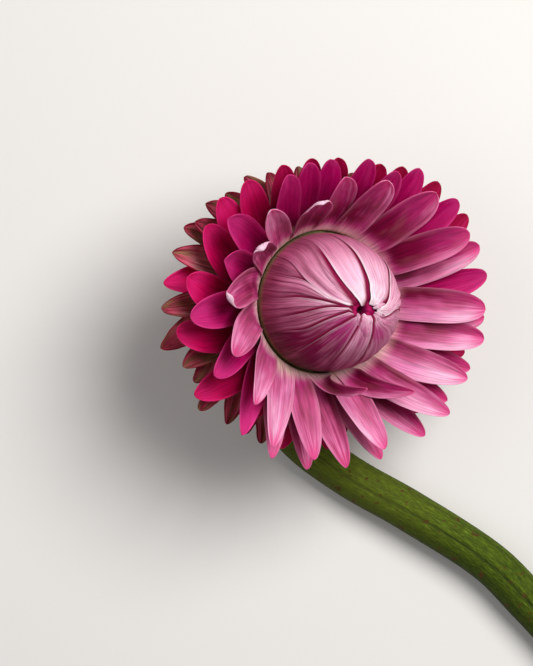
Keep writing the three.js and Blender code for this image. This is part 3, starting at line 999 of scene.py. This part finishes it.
stemLook = {
    "ribs": [(0.32, "222e08"), (0.46, "3a4a0a"), (0.57, "4e6210"), (0.7, "748a2c")],
    "groove": "161e04", "paintedShadeTowardsCut": "242c04", "paintedShadeLowerLeft": "20280a", "nearHead": "747828",
    "specks": "4a3414",
    "pith": [(0.3, "8a9a55"), (0.5, "b9c48a"), (0.7, "d8dcb8")],
}


def stemMaterial():
    material, tree, shader = newMaterial("greenStalk")
    place = addNode(tree, "ShaderNodeAttribute", attribute_name="stalk")
    mapping = addNode(tree, "ShaderNodeMapping")
    setInputs(mapping, {"Scale": (9.0, 9.0, 44.0)})
    tree.links.new(place.outputs["Vector"], mapping.inputs["Vector"])
    ribs = noiseTexture(tree, mapping.outputs[0], 2.2, 8.0, 0.72)
    split = addNode(tree, "ShaderNodeSeparateXYZ")
    tree.links.new(place.outputs["Vector"], split.inputs[0])
    colour = rampNode(tree, ribs, stemLook["ribs"])
    tints = {
        "groove": times(tree, attributeValue(tree, "groove"), 0.85),
        # Painted shade: darker towards the cut end, where the light falls off
        "paintedShadeTowardsCut": rangeNode(tree, split.outputs[2], 0.5, 1.0, 0.0, 0.6),
        # Painted shade on the stem's lower-left side, away from the light
        "paintedShadeLowerLeft": rangeNode(tree, split.outputs[1], -0.1, 0.9, 0.0, 0.5),
        "nearHead": rangeNode(tree, split.outputs[2], 0.3, 0.55, 0.22, 0.0),
        "specks": rangeNode(tree, grainNoise(tree, 900.0), 0.63, 0.72),
    }
    for name, share in tints.items():
        colour = mixColour(tree, share, colour, linear(stemLook[name]))
    tree.links.new(colour, shader.inputs["Base Color"])
    addBump(tree, shader, ribs, 0.6, 0.15)
    setInputs(shader, {"Roughness": 0.7, "Specular IOR Level": 0.1})
    return material


def cutMaterial():
    material, tree, shader = newMaterial("cutPith")
    colour = rampNode(tree, grainNoise(tree, 1500.0), stemLook["pith"])
    tree.links.new(colour, shader.inputs["Base Color"])
    setInputs(shader, {"Roughness": 0.7})
    return material


buildStem(stemMaterial(), cutMaterial())


# Receptacle: a rounded skin in place of the CAD's, turned from a profile of radius and rise
receptacle = {
    "turnSteps": 96, "rippleScale": 0.9, "ripple": 0.12, "grainScale": 700.0,
    "grain": [(0.3, "3c3a20"), (0.55, "6a683c"), (0.75, "8c8858")],
    "profile": [
        (0, -9.2), (3.2, -9.2), (3.9, -9.1), (5.2, -8.3), (6.7, -7), (7.6, -5.6), (8.4, -4.4), (9, -3),
        (9.4, -1.6), (9.65, -0.8), (9.6, -0.5), (9.2, -0.35), (0, -0.35),
    ],
}


def receptacleMaterial():
    material, tree, shader = newMaterial("receptacleSkin")
    grain = grainNoise(tree, receptacle["grainScale"], 6.0)
    tree.links.new(rampNode(tree, grain, receptacle["grain"]), shader.inputs["Base Color"])
    addBump(tree, shader, grain, 0.5, 0.1)
    setInputs(shader, {"Roughness": 0.8})
    return material


def receptacleMesh():
    bm = bmesh.new()
    verts = [bm.verts.new((radius, 0, rise)) for radius, rise in receptacle["profile"]]
    edges = [bm.edges.new(pair) for pair in zip(verts, verts[1:])]
    bmesh.ops.spin(bm, geom=verts + edges, cent=(0, 0, 0), axis=(0, 0, 1), angle=2 * math.pi,
                   steps=receptacle["turnSteps"], use_merge=True)
    bmesh.ops.remove_doubles(bm, verts=bm.verts, dist=0.001)
    bmesh.ops.recalc_face_normals(bm, faces=bm.faces)
    for vert in bm.verts:
        ripple = noise.noise(vert.co * receptacle["rippleScale"]) * receptacle["ripple"]
        out = 1 + ripple / max(1.0, vert.co.xy.length)
        vert.co = headPoint(vert.co.x * out, vert.co.y * out, vert.co.z)
    return smoothMesh(bm, "receptacle_skin")


addPiece("receptacle_skin", receptacleMesh(), (receptacleMaterial(),), "receptacle", None, 0)


# Table, light and camera
studio = {
    "tableSize": 1.5, "tableColour": (0.72, 0.71, 0.69, 1), "sensorWidth": 36,
    "airColour": (1.0, 0.98, 0.98, 1), "airStrength": 0.22,
}


def makeStage():
    bm = bmesh.new()
    bmesh.ops.create_grid(bm, x_segments=1, y_segments=1, size=studio["tableSize"])
    mesh = bpy.data.meshes.new("table")
    bm.to_mesh(mesh)
    bm.free()
    table = newObject("table", mesh)
    material, tree, shader = newMaterial("paleTable")
    setInputs(shader, {"Base Color": studio["tableColour"], "Roughness": 0.9})
    mesh.materials.append(material)


def addLight(name, place, target, size, power, colour):
    data = bpy.data.lights.new(name, "AREA")
    data.shape = "DISK"
    data.size = size
    data.energy = power
    data.color = colour
    light = newObject(name, data)
    light.location = place
    light.rotation_euler = (target - place).to_track_quat("-Z", "Y").to_euler()


def makeCamera():
    data = bpy.data.cameras.new("camera")
    data.sensor_fit = "HORIZONTAL"
    data.sensor_width = studio["sensorWidth"]
    seenWidth = pictureWidth / pixelsPerMm * mm
    data.lens = studio["sensorWidth"] * cameraAway / seenWidth
    data.clip_start = 0.01
    camera = newObject("camera", data)
    right = (ringPixel[0] - pictureWidth / 2) / pixelsPerMm * mm
    up = (pictureHeight / 2 - ringPixel[1]) / pixelsPerMm * mm
    camera.location = ringCentre + Vector((-right, -up, cameraAway))
    bpy.context.scene.camera = camera


makeStage()
addLight("keyLight", ringCentre + Vector((0.16, 0.12, 0.33)), ringCentre, 0.24, 1.85, (1.0, 0.98, 0.96))
addLight("fillLight", ringCentre + Vector((-0.3, 0.05, 0.35)), ringCentre, 0.4, 0.4, (0.97, 0.98, 1.0))
world = bpy.data.worlds.new("studio")
world.use_nodes = True
air = world.node_tree.nodes["Background"]
setInputs(air, {"Color": studio["airColour"], "Strength": studio["airStrength"]})
bpy.context.scene.world = world
bpy.context.scene.view_settings.view_transform = "Standard"
makeCamera()
print("stage, lights and camera")
